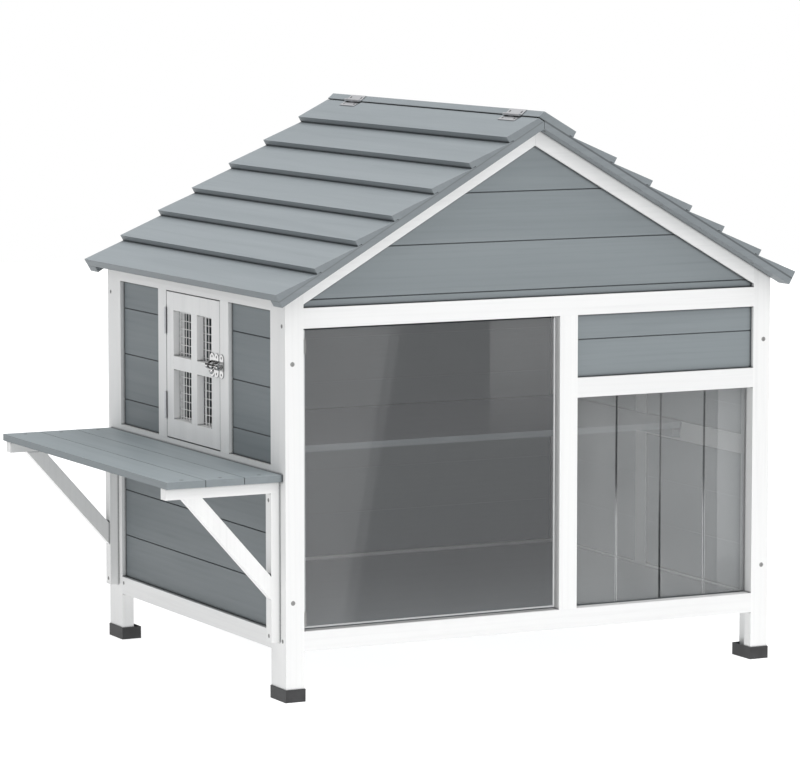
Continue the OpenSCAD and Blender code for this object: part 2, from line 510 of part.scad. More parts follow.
// Strip curtain
module curtain_strip(i) { color([0.8, 0.84, 0.86, 0.35]) place() blk(cur_x0 + i*cur_p, cur_x1(i), cur_y, cur_y + strip_t, cur_z0, cur_top); }
module curtain_strip_1() { curtain_strip(0); }
module curtain_strip_2() { curtain_strip(1); }
module curtain_strip_3() { curtain_strip(2); }
module curtain_strip_4() { curtain_strip(3); }
module curtain_strip_heads() { color([0.8, 0.84, 0.86, 0.35]) place() for (i = [0:3]) blk(cur_x0 + i*cur_p, cur_x1(i), cur_y, cur_y + strip_t, cur_top + 1, lintel_z + 20); }
module curtain_clamp_bar() { color(white) place() difference() {
  blk(cur_x0 - 1, cur_x0 + 4*cur_p, T, T + 12, lintel_z + 1, lintel_z + 27);
  blk(cur_x0 - 0.5, cur_x0 + 4*cur_p - 0.5, T - 1, cur_y + strip_t, lintel_z - 1, lintel_z + 20);
} }

// Screws
module house_screws() { color(steel) place() {
  four_ways() { frame_bolts(false); corner_screws(false); }
  floor_screws(false); flip_x() floor_screws(false);
  upright_screws(false); deck_screws(false); shelf_screws(false);
  slope_right() batten_screws(false);
  slope_left() roof_hinge_screws_fixed(false);
  keeper_screws(false); window_leaf_screws_jamb(false); clear_leaf_screws_post(false);
} }
module roof_panel_screws() { color(steel) place() {
  slope_left() { translate([0, 0, 0.3]) batten_screws(false); roof_hinge_screws_moving(false); }
} }

front_left_post();
front_right_post();
front_middle_stile();
front_rails();
front_rake_trims();
front_gable_boards();
front_entrance_boards();
back_posts();
back_rails();
back_rake_trims();
back_gable_boards();
back_wall_boards();
left_stiles();
left_rails();
left_window_jambs();
left_wall_boards();
right_stiles();
right_rails();
right_wall_boards();
floor_boards();
floor_bearers();
shelf_boards();
shelf_cleats();
deck_boards();
deck_bracket_arms();
deck_bracket_uprights();
deck_bracket_braces();
foot_caps();
right_roof_battens();
right_roof_lap_boards();
right_ridge_board();
left_roof_battens();
left_roof_lap_boards();
left_ridge_board();
roof_hinge_fixed_leaves();
roof_hinge_moving_leaves();
roof_hinge_pins();
window_door_frame();
window_mesh();
window_screws();
window_hinge_jamb_leaves();
window_hinge_door_leaves();
window_hinge_pins();
latch_plate();
latch_bolt();
latch_keeper();
clear_door();
clear_door_hinge_post_leaves();
clear_door_hinge_door_leaves();
clear_door_hinge_pins();
curtain_strip_1();
curtain_strip_2();
curtain_strip_3();
curtain_strip_4();
curtain_strip_heads();
curtain_clamp_bar();
house_screws();
roof_panel_screws();
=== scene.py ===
import bpy
import bmesh
import json
import math
import random
from mathutils import Vector, Matrix, noise

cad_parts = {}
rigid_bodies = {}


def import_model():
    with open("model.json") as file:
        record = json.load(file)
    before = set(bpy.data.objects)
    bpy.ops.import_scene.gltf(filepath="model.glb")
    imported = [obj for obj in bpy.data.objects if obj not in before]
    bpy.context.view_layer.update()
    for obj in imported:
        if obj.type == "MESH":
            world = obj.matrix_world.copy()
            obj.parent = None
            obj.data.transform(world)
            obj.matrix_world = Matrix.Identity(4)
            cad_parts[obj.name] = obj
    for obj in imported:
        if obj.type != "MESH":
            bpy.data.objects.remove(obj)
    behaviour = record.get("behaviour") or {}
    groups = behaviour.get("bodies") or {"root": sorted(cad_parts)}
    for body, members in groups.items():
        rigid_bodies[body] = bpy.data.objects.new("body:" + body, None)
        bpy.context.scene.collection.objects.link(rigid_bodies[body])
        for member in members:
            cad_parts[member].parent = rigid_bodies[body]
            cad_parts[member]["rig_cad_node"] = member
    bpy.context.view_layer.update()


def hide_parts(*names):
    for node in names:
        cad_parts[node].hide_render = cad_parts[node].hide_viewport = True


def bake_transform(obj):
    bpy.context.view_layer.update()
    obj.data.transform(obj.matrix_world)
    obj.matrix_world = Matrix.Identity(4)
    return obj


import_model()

SCENE = bpy.context.scene
# Offset from the house's front-left corner to the frame's origin, in millimetres
OX, OY = 405.4906, 397.2


def P(x, y, z):
    """A point given from the front-left corner in millimetres, in the frame in metres."""
    return Vector(((x - OX) / 1000, (y - OY) / 1000, z / 1000))


# ---------------------------------------------------------------- materials
class Tree:
    def __init__(self, name):
        m = bpy.data.materials.get(name) or bpy.data.materials.new(name)
        m.use_nodes = True
        m.node_tree.nodes.clear()
        self.m, self.t = m, m.node_tree
        self.out = self.n("ShaderNodeOutputMaterial")

    def n(self, kind, **kw):
        node = self.t.nodes.new(kind)
        for k, v in kw.items():
            setattr(node, k, v)
        return node

    def l(self, a, b):
        self.t.links.new(a, b)

    def coords(self, scale=(1, 1, 1), loc=(0, 0, 0), rot=(0, 0, 0)):
        if not hasattr(self, "tc"):
            self.tc = self.n("ShaderNodeTexCoord")
        mp = self.n("ShaderNodeMapping")
        mp.inputs["Scale"].default_value = scale
        mp.inputs["Location"].default_value = loc
        mp.inputs["Rotation"].default_value = rot
        self.l(self.tc.outputs["Object"], mp.inputs["Vector"])
        return mp.outputs["Vector"]

    def noise(self, vec, scale, detail=4, rough=0.55, distortion=0.0):
        t = self.n("ShaderNodeTexNoise")
        t.inputs["Scale"].default_value = scale
        t.inputs["Detail"].default_value = detail
        t.inputs["Roughness"].default_value = rough
        t.inputs["Distortion"].default_value = distortion
        self.l(vec, t.inputs["Vector"])
        return t.outputs["Fac"]

    def ramp(self, fac, stops):
        r = self.n("ShaderNodeValToRGB")
        e = r.color_ramp.elements
        while len(e) < len(stops):
            e.new(0.5)
        for k, (p, c) in enumerate(stops):
            e[k].position = p
            e[k].color = c if len(c) == 4 else (*c, 1)
        self.l(fac, r.inputs["Fac"])
        return r.outputs["Color"]

    def math(self, op, a, b=None, clamp=False):
        q = self.n("ShaderNodeMath", operation=op, use_clamp=clamp)
        for k, v in enumerate((a, b)):
            if v is None:
                continue
            if isinstance(v, (int, float)):
                q.inputs[k].default_value = v
            else:
                self.l(v, q.inputs[k])
        return q.outputs[0]

    def mix(self, fac, a, b, blend="MIX"):
        q = self.n("ShaderNodeMix", data_type="RGBA", blend_type=blend)
        for name, v in ((0, fac), (6, a), (7, b)):
            if isinstance(v, (int, float)):
                q.inputs[name].default_value = v
            elif isinstance(v, tuple):
                q.inputs[name].default_value = v if len(v) == 4 else (*v, 1)
            else:
                self.l(v, q.inputs[name])
        return q.outputs[2]

    def span(self, v, a, b, lo=0.0, hi=1.0, smooth=True):
        q = self.n("ShaderNodeMapRange", interpolation_type="SMOOTHSTEP" if smooth else "LINEAR", clamp=True)
        for name, val in (("From Min", a), ("From Max", b), ("To Min", lo), ("To Max", hi)):
            q.inputs[name].default_value = val
        self.l(v, q.inputs["Value"])
        return q.outputs["Result"]

    def xyz(self, vec):
        q = self.n("ShaderNodeSeparateXYZ")
        self.l(vec, q.inputs[0])
        return q.outputs

    def crevice(self, dist=0.004, samples=6):
        """1 in the open, falling towards 0 in seams and inner corners."""
        q = self.n("ShaderNodeAmbientOcclusion", samples=samples)
        q.inputs["Distance"].default_value = dist
        return q.outputs["AO"]

    def bump(self, height, strength, distance, normal=None):
        b = self.n("ShaderNodeBump")
        b.inputs["Strength"].default_value = strength
        b.inputs["Distance"].default_value = distance
        self.l(height, b.inputs["Height"])
        if normal is not None:
            self.l(normal, b.inputs["Normal"])
        return b.outputs["Normal"]


def grain_scale(axis, along, across):
    s = [across, across, across]
    s["XYZ".index(axis)] = along
    return tuple(s)


def painted_wood(name, base, dark, light, axis, rough=0.5, grain=0.35, rot=(0, 0, 0), mottle=0.5, streak=0.5, seed=0.0, top=1.0, seam=1.0, reach=0.0045, seam_dirt_and_shade=(0.26, 0.27, 0.28), inward_shade=None, low=None, line=None):
    """Paint over softwood: long grain lines telling through the paint, soft mottling, thin dark streaks and a faint nap."""
    t = Tree(name)
    off = (seed * 3.1, seed * 1.7, seed * 2.3)
    fine = t.coords(grain_scale(axis, 3.2, 95), off, rot)
    mid = t.coords(grain_scale(axis, 1.1, 17), off, rot)
    big = t.coords(grain_scale(axis, 2.0, 5.5), off, rot)
    nap = t.coords((260, 260, 260), off, rot)
    g1 = t.noise(fine, 1.0, 5, 0.62, 0.25)
    g2 = t.noise(mid, 1.0, 4, 0.5, 0.9)
    g3 = t.noise(big, 1.0, 3, 0.5, 0.4)
    # rings: growth lines cut lengthways, wavering with the mid noise
    w = t.n("ShaderNodeTexWave", wave_type="BANDS", bands_direction={"X": "Z", "Y": "Z", "Z": "X"}[axis], wave_profile="SIN")
    w.inputs["Scale"].default_value = 1.0
    w.inputs["Distortion"].default_value = 7.0
    w.inputs["Detail"].default_value = 3.0
    w.inputs["Detail Scale"].default_value = 0.8
    t.l(t.coords(grain_scale(axis, 1.4, 26), off, rot), w.inputs["Vector"])
    rings = w.outputs["Fac"]
    c = t.mix(t.math("MULTIPLY", g3, mottle, True), base, light)
    c = t.mix(t.math("MULTIPLY", t.ramp(g2, [(0.42, (0, 0, 0)), (0.72, (1, 1, 1))]), 0.55 * mottle), c, dark)
    lines = t.ramp(g1, [(0.55, (0, 0, 0)), (0.74, (1, 1, 1))])
    c = t.mix(t.math("MULTIPLY", lines, streak), c, dark)
    pale = t.ramp(g1, [(0.24, (1, 1, 1)), (0.4, (0, 0, 0))])
    c = t.mix(t.math("MULTIPLY", pale, 0.35 * streak), c, light)
    c = t.mix(t.math("MULTIPLY", t.ramp(rings, [(0.62, (0, 0, 0)), (0.97, (1, 1, 1))]), 0.28 * streak), c, dark)
    if top != 1.0:
        # painted light: faces that look up are lightened, as the light from above falls on them
        up = t.span(t.xyz(t.tc.outputs["Normal"])[2], 0.35, 0.75)
        c = t.mix(up, c, t.mix(1.0, c, (top, top, top), "MULTIPLY"))
    if inward_shade:
        # painted shade: the faces that look inwards are darkened, for the shade inside the house
        ax_, sign, f = inward_shade
        inw = t.span(t.math("MULTIPLY", t.xyz(t.tc.outputs["Normal"])[ax_], sign), 0.5, 0.8)
        c = t.mix(inw, c, t.mix(1.0, c, (f, f, f), "MULTIPLY"))
    if low:
        # painted shade: boards under the deck are darkened, where the deck shades them
        z0, z1, f = low
        c = t.mix(t.span(t.xyz(t.tc.outputs["Object"])[2], z0, z1, 1.0, 0.0), c, t.mix(1.0, c, (f, f, f), "MULTIPLY"))
    if line:
        # the dark joint between the lap boards and the batten that they lie on
        nx_, nz_, v_, under, over, f = line
        q = t.xyz(t.tc.outputs["Object"])
        v = t.math("ADD", t.math("MULTIPLY", q[0], nx_), t.math("MULTIPLY", q[2], nz_))
        m = t.math("MULTIPLY", t.span(v, v_ - under - 0.0004, v_ - under), t.span(v, v_ + over, v_ + over + 0.0004, 1.0, 0.0))
        c = t.mix(m, c, t.mix(1.0, c, (f, f, f), "MULTIPLY"))
    # painted shade, with some dirt: the colour darkens in seams and inner corners
    c = t.mix(t.span(t.crevice(reach), 0.5, 0.985, seam, 0.0), c, t.mix(1.0, c, seam_dirt_and_shade, "MULTIPLY"))
    s = t.n("ShaderNodeBsdfPrincipled")
    t.l(c, s.inputs["Base Color"])
    r = t.math("ADD", t.math("MULTIPLY", g1, 0.16), rough - 0.08)
    t.l(r, s.inputs["Roughness"])
    s.inputs["Specular IOR Level"].default_value = 0.32
    h = t.math("ADD", t.math("MULTIPLY", g1, 0.7), t.math("MULTIPLY", rings, 0.25))
    h = t.math("ADD", h, t.math("MULTIPLY", t.noise(nap, 1.0, 2), 0.12))
    t.l(t.bump(h, grain, 0.0006), s.inputs["Normal"])
    t.l(s.outputs[0], t.out.inputs["Surface"])
    return t.m


def metal(name, base, rough, axis="Z", brushed=0.3, spots=(0.02, 0.02, 0.02), metallic=1.0, seam_dirt_and_shade=0.0, up_dark=0.0):
    t = Tree(name)
    br = t.noise(t.coords(grain_scale(axis, 60, 1800)), 1.0, 3)
    cl = t.noise(t.coords((90, 90, 90)), 1.0, 4)
    c = t.mix(t.math("MULTIPLY", cl, 0.5), base, tuple(min(1, x * 1.18) for x in base))
    c = t.mix(t.ramp(cl, [(0.66, (0, 0, 0)), (0.8, (0.35, 0.35, 0.35))]), c, spots)
    if seam_dirt_and_shade:
        # painted shade, with some dirt: the colour turns near-black in crevices and hollows
        c = t.mix(t.span(t.crevice(0.004), 0.35, 0.95, seam_dirt_and_shade, 0.0), c, (0.02, 0.02, 0.021))
    if up_dark:
        # heads that look up are darker
        c = t.mix(t.span(t.xyz(t.tc.outputs["Normal"])[2], 0.5, 0.8, 0.0, up_dark), c, (0.035, 0.036, 0.038))
    s = t.n("ShaderNodeBsdfPrincipled")
    t.l(c, s.inputs["Base Color"])
    s.inputs["Metallic"].default_value = metallic
    t.l(t.math("ADD", t.math("MULTIPLY", br, brushed * 0.4), rough - brushed * 0.2), s.inputs["Roughness"])
    t.l(t.bump(br, brushed * 0.3, 0.0002), s.inputs["Normal"])
    t.l(s.outputs[0], t.out.inputs["Surface"])
    return t.m


def plastic(name, base, light, rough=0.55):
    t = Tree(name)
    grain_n = t.noise(t.coords((1100, 1100, 1100)), 1.0, 2)
    cl = t.noise(t.coords((35, 35, 35)), 1.0, 4)
    c = t.mix(t.ramp(cl, [(0.4, (0, 0, 0)), (0.75, (1, 1, 1))]), base, light)
    s = t.n("ShaderNodeBsdfPrincipled")
    t.l(c, s.inputs["Base Color"])
    t.l(t.math("ADD", t.math("MULTIPLY", cl, 0.2), rough - 0.1), s.inputs["Roughness"])
    t.l(t.bump(grain_n, 0.35, 0.0002), s.inputs["Normal"])
    t.l(s.outputs[0], t.out.inputs["Surface"])
    return t.m


def clear_acrylic(name):
    """The clear door: a smoky haze with faint wipe marks, a painted reflection as a paler slanted band at the left
    and paler areas at the upper right and the foot, and painted highlights on the sawn edges.
    """
    t = Tree(name)
    pos = t.xyz(t.coords())
    x, z = pos[0], pos[2]
    haze = t.noise(t.coords((5, 5, 3.2)), 1.0, 3, 0.5, 0.6)
    wipe = t.noise(t.coords((9, 9, 55), rot=(0, 0.45, 0)), 1.0, 4, 0.6, 0.3)
    # painted reflection: slanted paler bands, measured from a line that leans from the foot of the door to its head
    xa, za = (SLANT_TOP[0] - OX) / 1000, SLANT_TOP[1] / 1000
    xb, zb = (SLANT_FOOT[0] - OX) / 1000, SLANT_FOOT[1] / 1000
    k = (xa - xb) / (za - zb)
    d = t.math("SUBTRACT", x, t.math("ADD", t.math("MULTIPLY", z, k), xb - zb * k))
    slant_reflection = t.math("ADD", t.span(d, -0.0118, -0.0102, 0.5, 0.0), t.span(d, 0.0092, 0.0108, 0.5, 0.0))
    # painted reflection: a paler area over the right part of the door, strongest towards its head
    right = t.math("MULTIPLY", t.span(x, (409 - OX) / 1000, (412 - OX) / 1000), t.span(z, 0.40, 0.62, 0.0, 1.0))
    # painted reflection: paler towards the foot of the door
    low = t.span(z, 0.12, 0.30, 0.42, 0.0)
    painted_reflection = t.math("ADD", t.math("ADD", t.math("MULTIPLY", slant_reflection, 0.7), t.math("MULTIPLY", right, 0.8)), t.math("MULTIPLY", low, 0.6), True)
    painted_reflection = t.math("MULTIPLY", painted_reflection, t.span(haze, 0.2, 0.8, 0.85, 1.1))
    c = t.mix(painted_reflection, (0.196, 0.202, 0.209), (0.352, 0.358, 0.364))
    # painted highlight: the sawn left, right and bottom edges are paler and more opaque
    edge = t.math("MAXIMUM", t.span(x, (37.3 + 2.2 - OX) / 1000, (37.3 + 3.6 - OX) / 1000, 1.0, 0.0), t.span(x, (544.5 - 3.0 - OX) / 1000, (544.5 - 2.0 - OX) / 1000))
    edge = t.math("MAXIMUM", edge, t.span(z, 0.1335, 0.1345, 0.8, 0.0))
    c = t.mix(edge, c, (0.60, 0.61, 0.615))
    s = t.n("ShaderNodeBsdfPrincipled")
    t.l(c, s.inputs["Base Color"])
    a = t.math("ADD", t.math("MULTIPLY", haze, 0.03), 0.195)
    a = t.math("ADD", a, t.math("MULTIPLY", t.ramp(wipe, [(0.62, (0, 0, 0)), (0.78, (1, 1, 1))]), 0.015))
    a = t.math("ADD", a, t.math("MULTIPLY", edge, 0.5), True)
    t.l(a, s.inputs["Alpha"])
    t.l(t.math("ADD", t.math("MULTIPLY", wipe, 0.05), 0.03), s.inputs["Roughness"])
    s.inputs["Specular IOR Level"].default_value = 0.7
    t.l(s.outputs[0], t.out.inputs["Surface"])
    return t.m


def clear_pvc(name, strip_edges, left=(1, 1), right=(1, 1), painted_sheen=0.0):
    """Flexible clear PVC: milky haze, a soft ripple in its gloss, and on the hanging strips paler cut edges, darkened
    by painted shade in the gaps beside each strip, and a painted reflection on one strip.
    """
    t = Tree(name)
    haze = t.noise(t.coords((6, 6, 3.0)), 1.0, 3, 0.5, 0.6)
    wipe = t.noise(t.coords((12, 12, 40), rot=(0, 0.3, 0)), 1.0, 4, 0.6, 0.3)
    rip = t.noise(t.coords(grain_scale("Z", 5, 30)), 1.0, 2)
    c = t.mix(t.ramp(haze, [(0.3, (0, 0, 0)), (0.7, (1, 1, 1))]), (0.42, 0.435, 0.44), (0.52, 0.535, 0.54))
    a = t.math("ADD", t.math("MULTIPLY", haze, 0.05), 0.215)
    a = t.math("ADD", a, t.math("MULTIPLY", t.ramp(wipe, [(0.62, (0, 0, 0)), (0.78, (1, 1, 1))]), 0.03))
    if strip_edges:
        uv = t.xyz(t.tc.outputs["UV"])
        u = uv[0]
        el, er = t.span(u, 0.008, 0.018, 1.0, 0.0), t.span(u, 0.982, 0.992)
        # how much painted shade darkens each cut edge at its foot and at its head
        dl, dr = t.span(uv[1], 0.35, 0.6, *left), t.span(uv[1], 0.35, 0.6, *right)
        dark = t.math("ADD", t.math("MULTIPLY", el, dl), t.math("MULTIPLY", er, dr), True)
        both = t.math("MAXIMUM", el, er)
        if painted_sheen:
            # painted reflection: a paler band over the right two thirds of the strip, weaker at its foot
            sh = t.math("MULTIPLY", t.span(u, 0.31, 0.34), t.span(uv[1], 0.12, 0.2, 0.5, 1.0))
            a = t.math("ADD", a, t.math("MULTIPLY", sh, painted_sheen))
        c = t.mix(both, c, (0.70, 0.715, 0.72))
        c = t.mix(dark, c, (0.03, 0.033, 0.036))
        a = t.math("ADD", a, t.math("MULTIPLY", both, 0.45), True)
    s = t.n("ShaderNodeBsdfPrincipled")
    t.l(c, s.inputs["Base Color"])
    t.l(a, s.inputs["Alpha"])
    t.l(t.math("ADD", t.math("MULTIPLY", wipe, 0.06), 0.09), s.inputs["Roughness"])
    t.l(t.bump(rip, 0.04, 0.001), s.inputs["Normal"])
    s.inputs["Specular IOR Level"].default_value = 0.7
    t.l(s.outputs[0], t.out.inputs["Surface"])
    return t.m


# the slant of the painted reflection, a paler band in the clear door: its upper and lower ends (x, z) in millimetres
SLANT_TOP, SLANT_FOOT = (222, 661), (124, 132)
WHITE, WHITE_D, WHITE_L = (0.785, 0.785, 0.78), (0.58, 0.585, 0.585), (0.83, 0.83, 0.825)
GREY, GREY_D, GREY_L = (0.204, 0.231, 0.243), (0.150, 0.172, 0.183), (0.240, 0.266, 0.278)
ROOF, ROOF_D, ROOF_L = (0.196, 0.218, 0.230), (0.146, 0.165, 0.176), (0.230, 0.252, 0.265)

M = {}
for ax in "XYZ":
    M["white" + ax] = painted_wood("white_paint_" + ax, WHITE, WHITE_D, WHITE_L, ax, 0.42, 0.28, mottle=0.35, streak=0.22, seed="XYZ".index(ax) + 1.0)
    M["grey" + ax] = painted_wood("grey_paint_" + ax, GREY, GREY_D, GREY_L, ax, 0.5, 0.34, mottle=0.6, streak=0.30, seed="XYZ".index(ax) + 4.0, seam=1.0, reach=0.006, seam_dirt_and_shade=(0.12, 0.125, 0.13))
# painted shade: a darker copy of the grey paint for the left wall, which lies on the shaded side
M["grey_left_shaded"] = painted_wood("grey_paint_left_wall_shaded", (0.194, 0.219, 0.230), GREY_D, (0.228, 0.252, 0.264), "Y", 0.5, 0.34, mottle=0.6, streak=0.30, seed=5.0, reach=0.006, seam_dirt_and_shade=(0.12, 0.125, 0.13), low=(0.35, 0.37, 0.84))
# painted shade: the inward faces of the back wall, the floor and the shelf are darkened
M["grey_back"] = painted_wood("grey_paint_back_wall", GREY, GREY_D, GREY_L, "X", 0.5, 0.34, mottle=0.6, streak=0.30, seed=4.0, reach=0.006, seam_dirt_and_shade=(0.12, 0.125, 0.13), inward_shade=(1, -1.0, 0.62))
M["grey_floor"] = painted_wood("grey_paint_floor", GREY, GREY_D, GREY_L, "X", 0.5, 0.34, mottle=0.6, streak=0.30, seed=6.0, reach=0.006, seam_dirt_and_shade=(0.12, 0.125, 0.13), inward_shade=(2, 1.0, 0.78))
M["grey_shelf"] = painted_wood("grey_paint_shelf", GREY, GREY_D, GREY_L, "X", 0.5, 0.34, mottle=0.6, streak=0.30, seed=13.0, reach=0.006, seam_dirt_and_shade=(0.12, 0.125, 0.13), inward_shade=(2, 1.0, 0.6))
# painted shade: a darker copy of the white paint for the front rails, which the bright floor lights strongly
M["white_front_shaded"] = painted_wood("white_paint_front_rails_shaded", (0.765, 0.765, 0.762), WHITE_D, WHITE_L, "X", 0.42, 0.28, mottle=0.35, streak=0.22, seed=1.0)
# painted light: a lighter copy of the white paint for the window frame and jambs, which lie in the shade of the
# overhang and the deck
M["white_window_lit"] = painted_wood("white_paint_window_lit", (0.83, 0.83, 0.825), WHITE_D, (0.86, 0.86, 0.855), "Z", 0.42, 0.28, mottle=0.35, streak=0.20, seed=14.0)


def board_top(name, side):
    """The plane on top of a roof half's battens: its normal's x and z, and its distance from the origin in metres."""
    best = None
    me_ = bpy.data.objects[name].data
    for pl in me_.polygons:
        if pl.normal.z > 0.6 and pl.normal.x * side > 0.2:
            d = pl.normal.x * pl.center.x + pl.normal.z * pl.center.z
            if best is None or pl.area > best[0]:
                best = (pl.area, pl.normal.x, pl.normal.z, d)
    return best[1:]


JOINT_R, JOINT_L = board_top("right_roof_battens", 1), board_top("left_roof_battens", -1)
# painted light: the deck's top faces are lightened
M["greydeck"] = painted_wood("grey_paint_deck", GREY, GREY_D, GREY_L, "Y", 0.5, 0.32, mottle=0.5, streak=0.3, seed=12.0, top=1.60, seam=1.0, reach=0.006, seam_dirt_and_shade=(0.12, 0.125, 0.13))
M["roof_left_slope"] = painted_wood("roof_paint_slope_left", ROOF, ROOF_D, ROOF_L, "X", 0.52, 0.36, rot=(0, math.radians(30), 0), mottle=0.8, streak=0.4, seed=8.0, reach=0.005, seam_dirt_and_shade=(0.2, 0.205, 0.21), line=(*JOINT_L, 0.0010, 0.0005, 0.74))
M["roof_right_slope"] = painted_wood("roof_paint_slope_right", ROOF, ROOF_D, ROOF_L, "X", 0.52, 0.36, rot=(0, math.radians(-30), 0), mottle=0.8, streak=0.4, seed=9.0, reach=0.005, seam_dirt_and_shade=(0.2, 0.205, 0.21), line=(*JOINT_R, 0.0016, 0.0005, 0.5))
# painted light: the top faces of the roof's lap boards are lightened
M["roof_left_laps"] = painted_wood("roof_paint_laps_left", ROOF, ROOF_D, ROOF_L, "Y", 0.52, 0.3, mottle=0.6, streak=0.22, seed=7.0, top=1.68, reach=0.005, seam_dirt_and_shade=(0.2, 0.205, 0.21), line=(*JOINT_L, 0.0005, 0.0008, 0.74))
M["roof_right_laps"] = painted_wood("roof_paint_laps_right", ROOF, ROOF_D, ROOF_L, "Y", 0.52, 0.3, mottle=0.6, streak=0.22, seed=7.0, top=1.68, reach=0.005, seam_dirt_and_shade=(0.2, 0.205, 0.21), line=(*JOINT_R, 0.0005, 0.0012, 0.5))
# painted light: a lighter copy of the white paint for the rake trims, which lie in the shade of the roof's overhang
M["white_rake_lit"] = painted_wood("white_paint_rake_lit", (0.83, 0.83, 0.825), WHITE_D, (0.86, 0.86, 0.855), "X", 0.42, 0.28, mottle=0.35, streak=0.22, seed=10.0)
M["zinc"] = metal("zinc_plate", (0.575, 0.58, 0.60), 0.34, "Z", 0.3, (0.30, 0.30, 0.30), seam_dirt_and_shade=0.75)
M["chrome"] = metal("nickel_plate", (0.56, 0.56, 0.56), 0.13, "Y", 0.12, (0.3, 0.3, 0.3), seam_dirt_and_shade=0.9)
M["screw"] = metal("zinc_screw", (0.30, 0.30, 0.295), 0.40, "Z", 0.3, (0.10, 0.10, 0.10), up_dark=0.92)
M["wire"] = metal("galvanised_wire", (0.86, 0.86, 0.86), 0.5, "Z", 0.3, (0.5, 0.5, 0.5), 0.35)
M["black"] = plastic("black_plastic", (0.021, 0.021, 0.022), (0.043, 0.043, 0.045), 0.5)
M["acrylic"] = clear_acrylic("clear_acrylic")
M["pvc"] = clear_pvc("clear_pvc", False)
# (foot, head) strength of the painted shade on each strip's left and right edges
EDGES = [((0.2, 0.2), (0.0, 1.0)), ((0.0, 1.0), (1.0, 0.8)), ((1.0, 0.8), (0.1, 0.9)), ((0.1, 0.9), (0.3, 0.3))]
for q, (le, ri) in enumerate(EDGES):
    M[f"pvc_strip_{q + 1}"] = clear_pvc(f"clear_pvc_strip_{q + 1}", True, le, ri, 0.14 if q == 3 else 0.0)

LOOK = {
    "front_left_post": "whiteZ", "front_right_post": "whiteZ", "front_middle_stile": "whiteZ",
    "front_rails": "white_front_shaded", "front_rake_trims": "white_rake_lit",
    "front_gable_boards": "greyX", "front_entrance_boards": "greyX",
    "back_posts": "whiteZ", "back_rails": "whiteX", "back_rake_trims": "white_rake_lit",
    "back_gable_boards": "greyX", "back_wall_boards": "grey_back",
    "left_stiles": "whiteZ", "left_rails": "whiteY", "left_window_jambs": "white_window_lit", "left_wall_boards": "grey_left_shaded",
    "right_stiles": "whiteZ", "right_rails": "whiteY", "right_wall_boards": "greyY",
    "floor_boards": "grey_floor", "floor_bearers": "whiteY", "shelf_boards": "grey_shelf", "shelf_cleats": "greyY",
    "deck_boards": "greydeck", "deck_bracket_arms": "whiteX", "deck_bracket_uprights": "whiteZ", "deck_bracket_braces": "whiteZ",
    "foot_caps": "black",
    "right_roof_battens": "roof_right_slope", "right_roof_lap_boards": "roof_right_laps", "right_ridge_board": "roof_right_laps",
    "left_roof_battens": "roof_left_slope", "left_roof_lap_boards": "roof_left_laps", "left_ridge_board": "roof_left_laps",
    "window_door_frame": "white_window_lit", "window_mesh": "wire",
    "latch_plate": "chrome", "latch_bolt": "chrome", "latch_keeper": "chrome",
    "clear_door": "acrylic", "curtain_clamp_bar": "whiteX", "curtain_strip_heads": "pvc",
}

BEVEL = {"white": 0.0014, "grey": 0.0008, "roof": 0.0012, "black": 0.0006}


def cad(name):
    o = bpy.data.objects.get(name)
    if o is None:
        raise RuntimeError("no CAD node " + name)
    return o


NODES = [o.name for o in bpy.data.objects if o.type == "MESH" and "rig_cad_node" in o]
for name in NODES:
    o = cad(name)
    key = LOOK.get(name)
    if key is None:
        key = "screw" if "screw" in name or name in ("clear_door_hinge_door_leaves", "clear_door_hinge_post_leaves") else "zinc" if "hinge" in name else "pvc"
    o.data.materials.clear()
    o.data.materials.append(M[key])
    for k, wdt in BEVEL.items():
        if key.startswith(k):
            b = o.modifiers.new("edges", "BEVEL")
            b.width = wdt
            b.segments = 2
            b.limit_method = "ANGLE"
            b.angle_limit = math.radians(40)
            b.use_clamp_overlap = True
            b.harden_normals = False

# ---------------------------------------------------------------- curtain strips
STRIP_W, STRIP_P, STRIP_X0, STRIP_T = (93.0, 93.0, 93.0, 89.0), 94.1, 592.1, 1.5
TOP, BOTTOM, PIVOT = 533.0, 127.3, 512.0


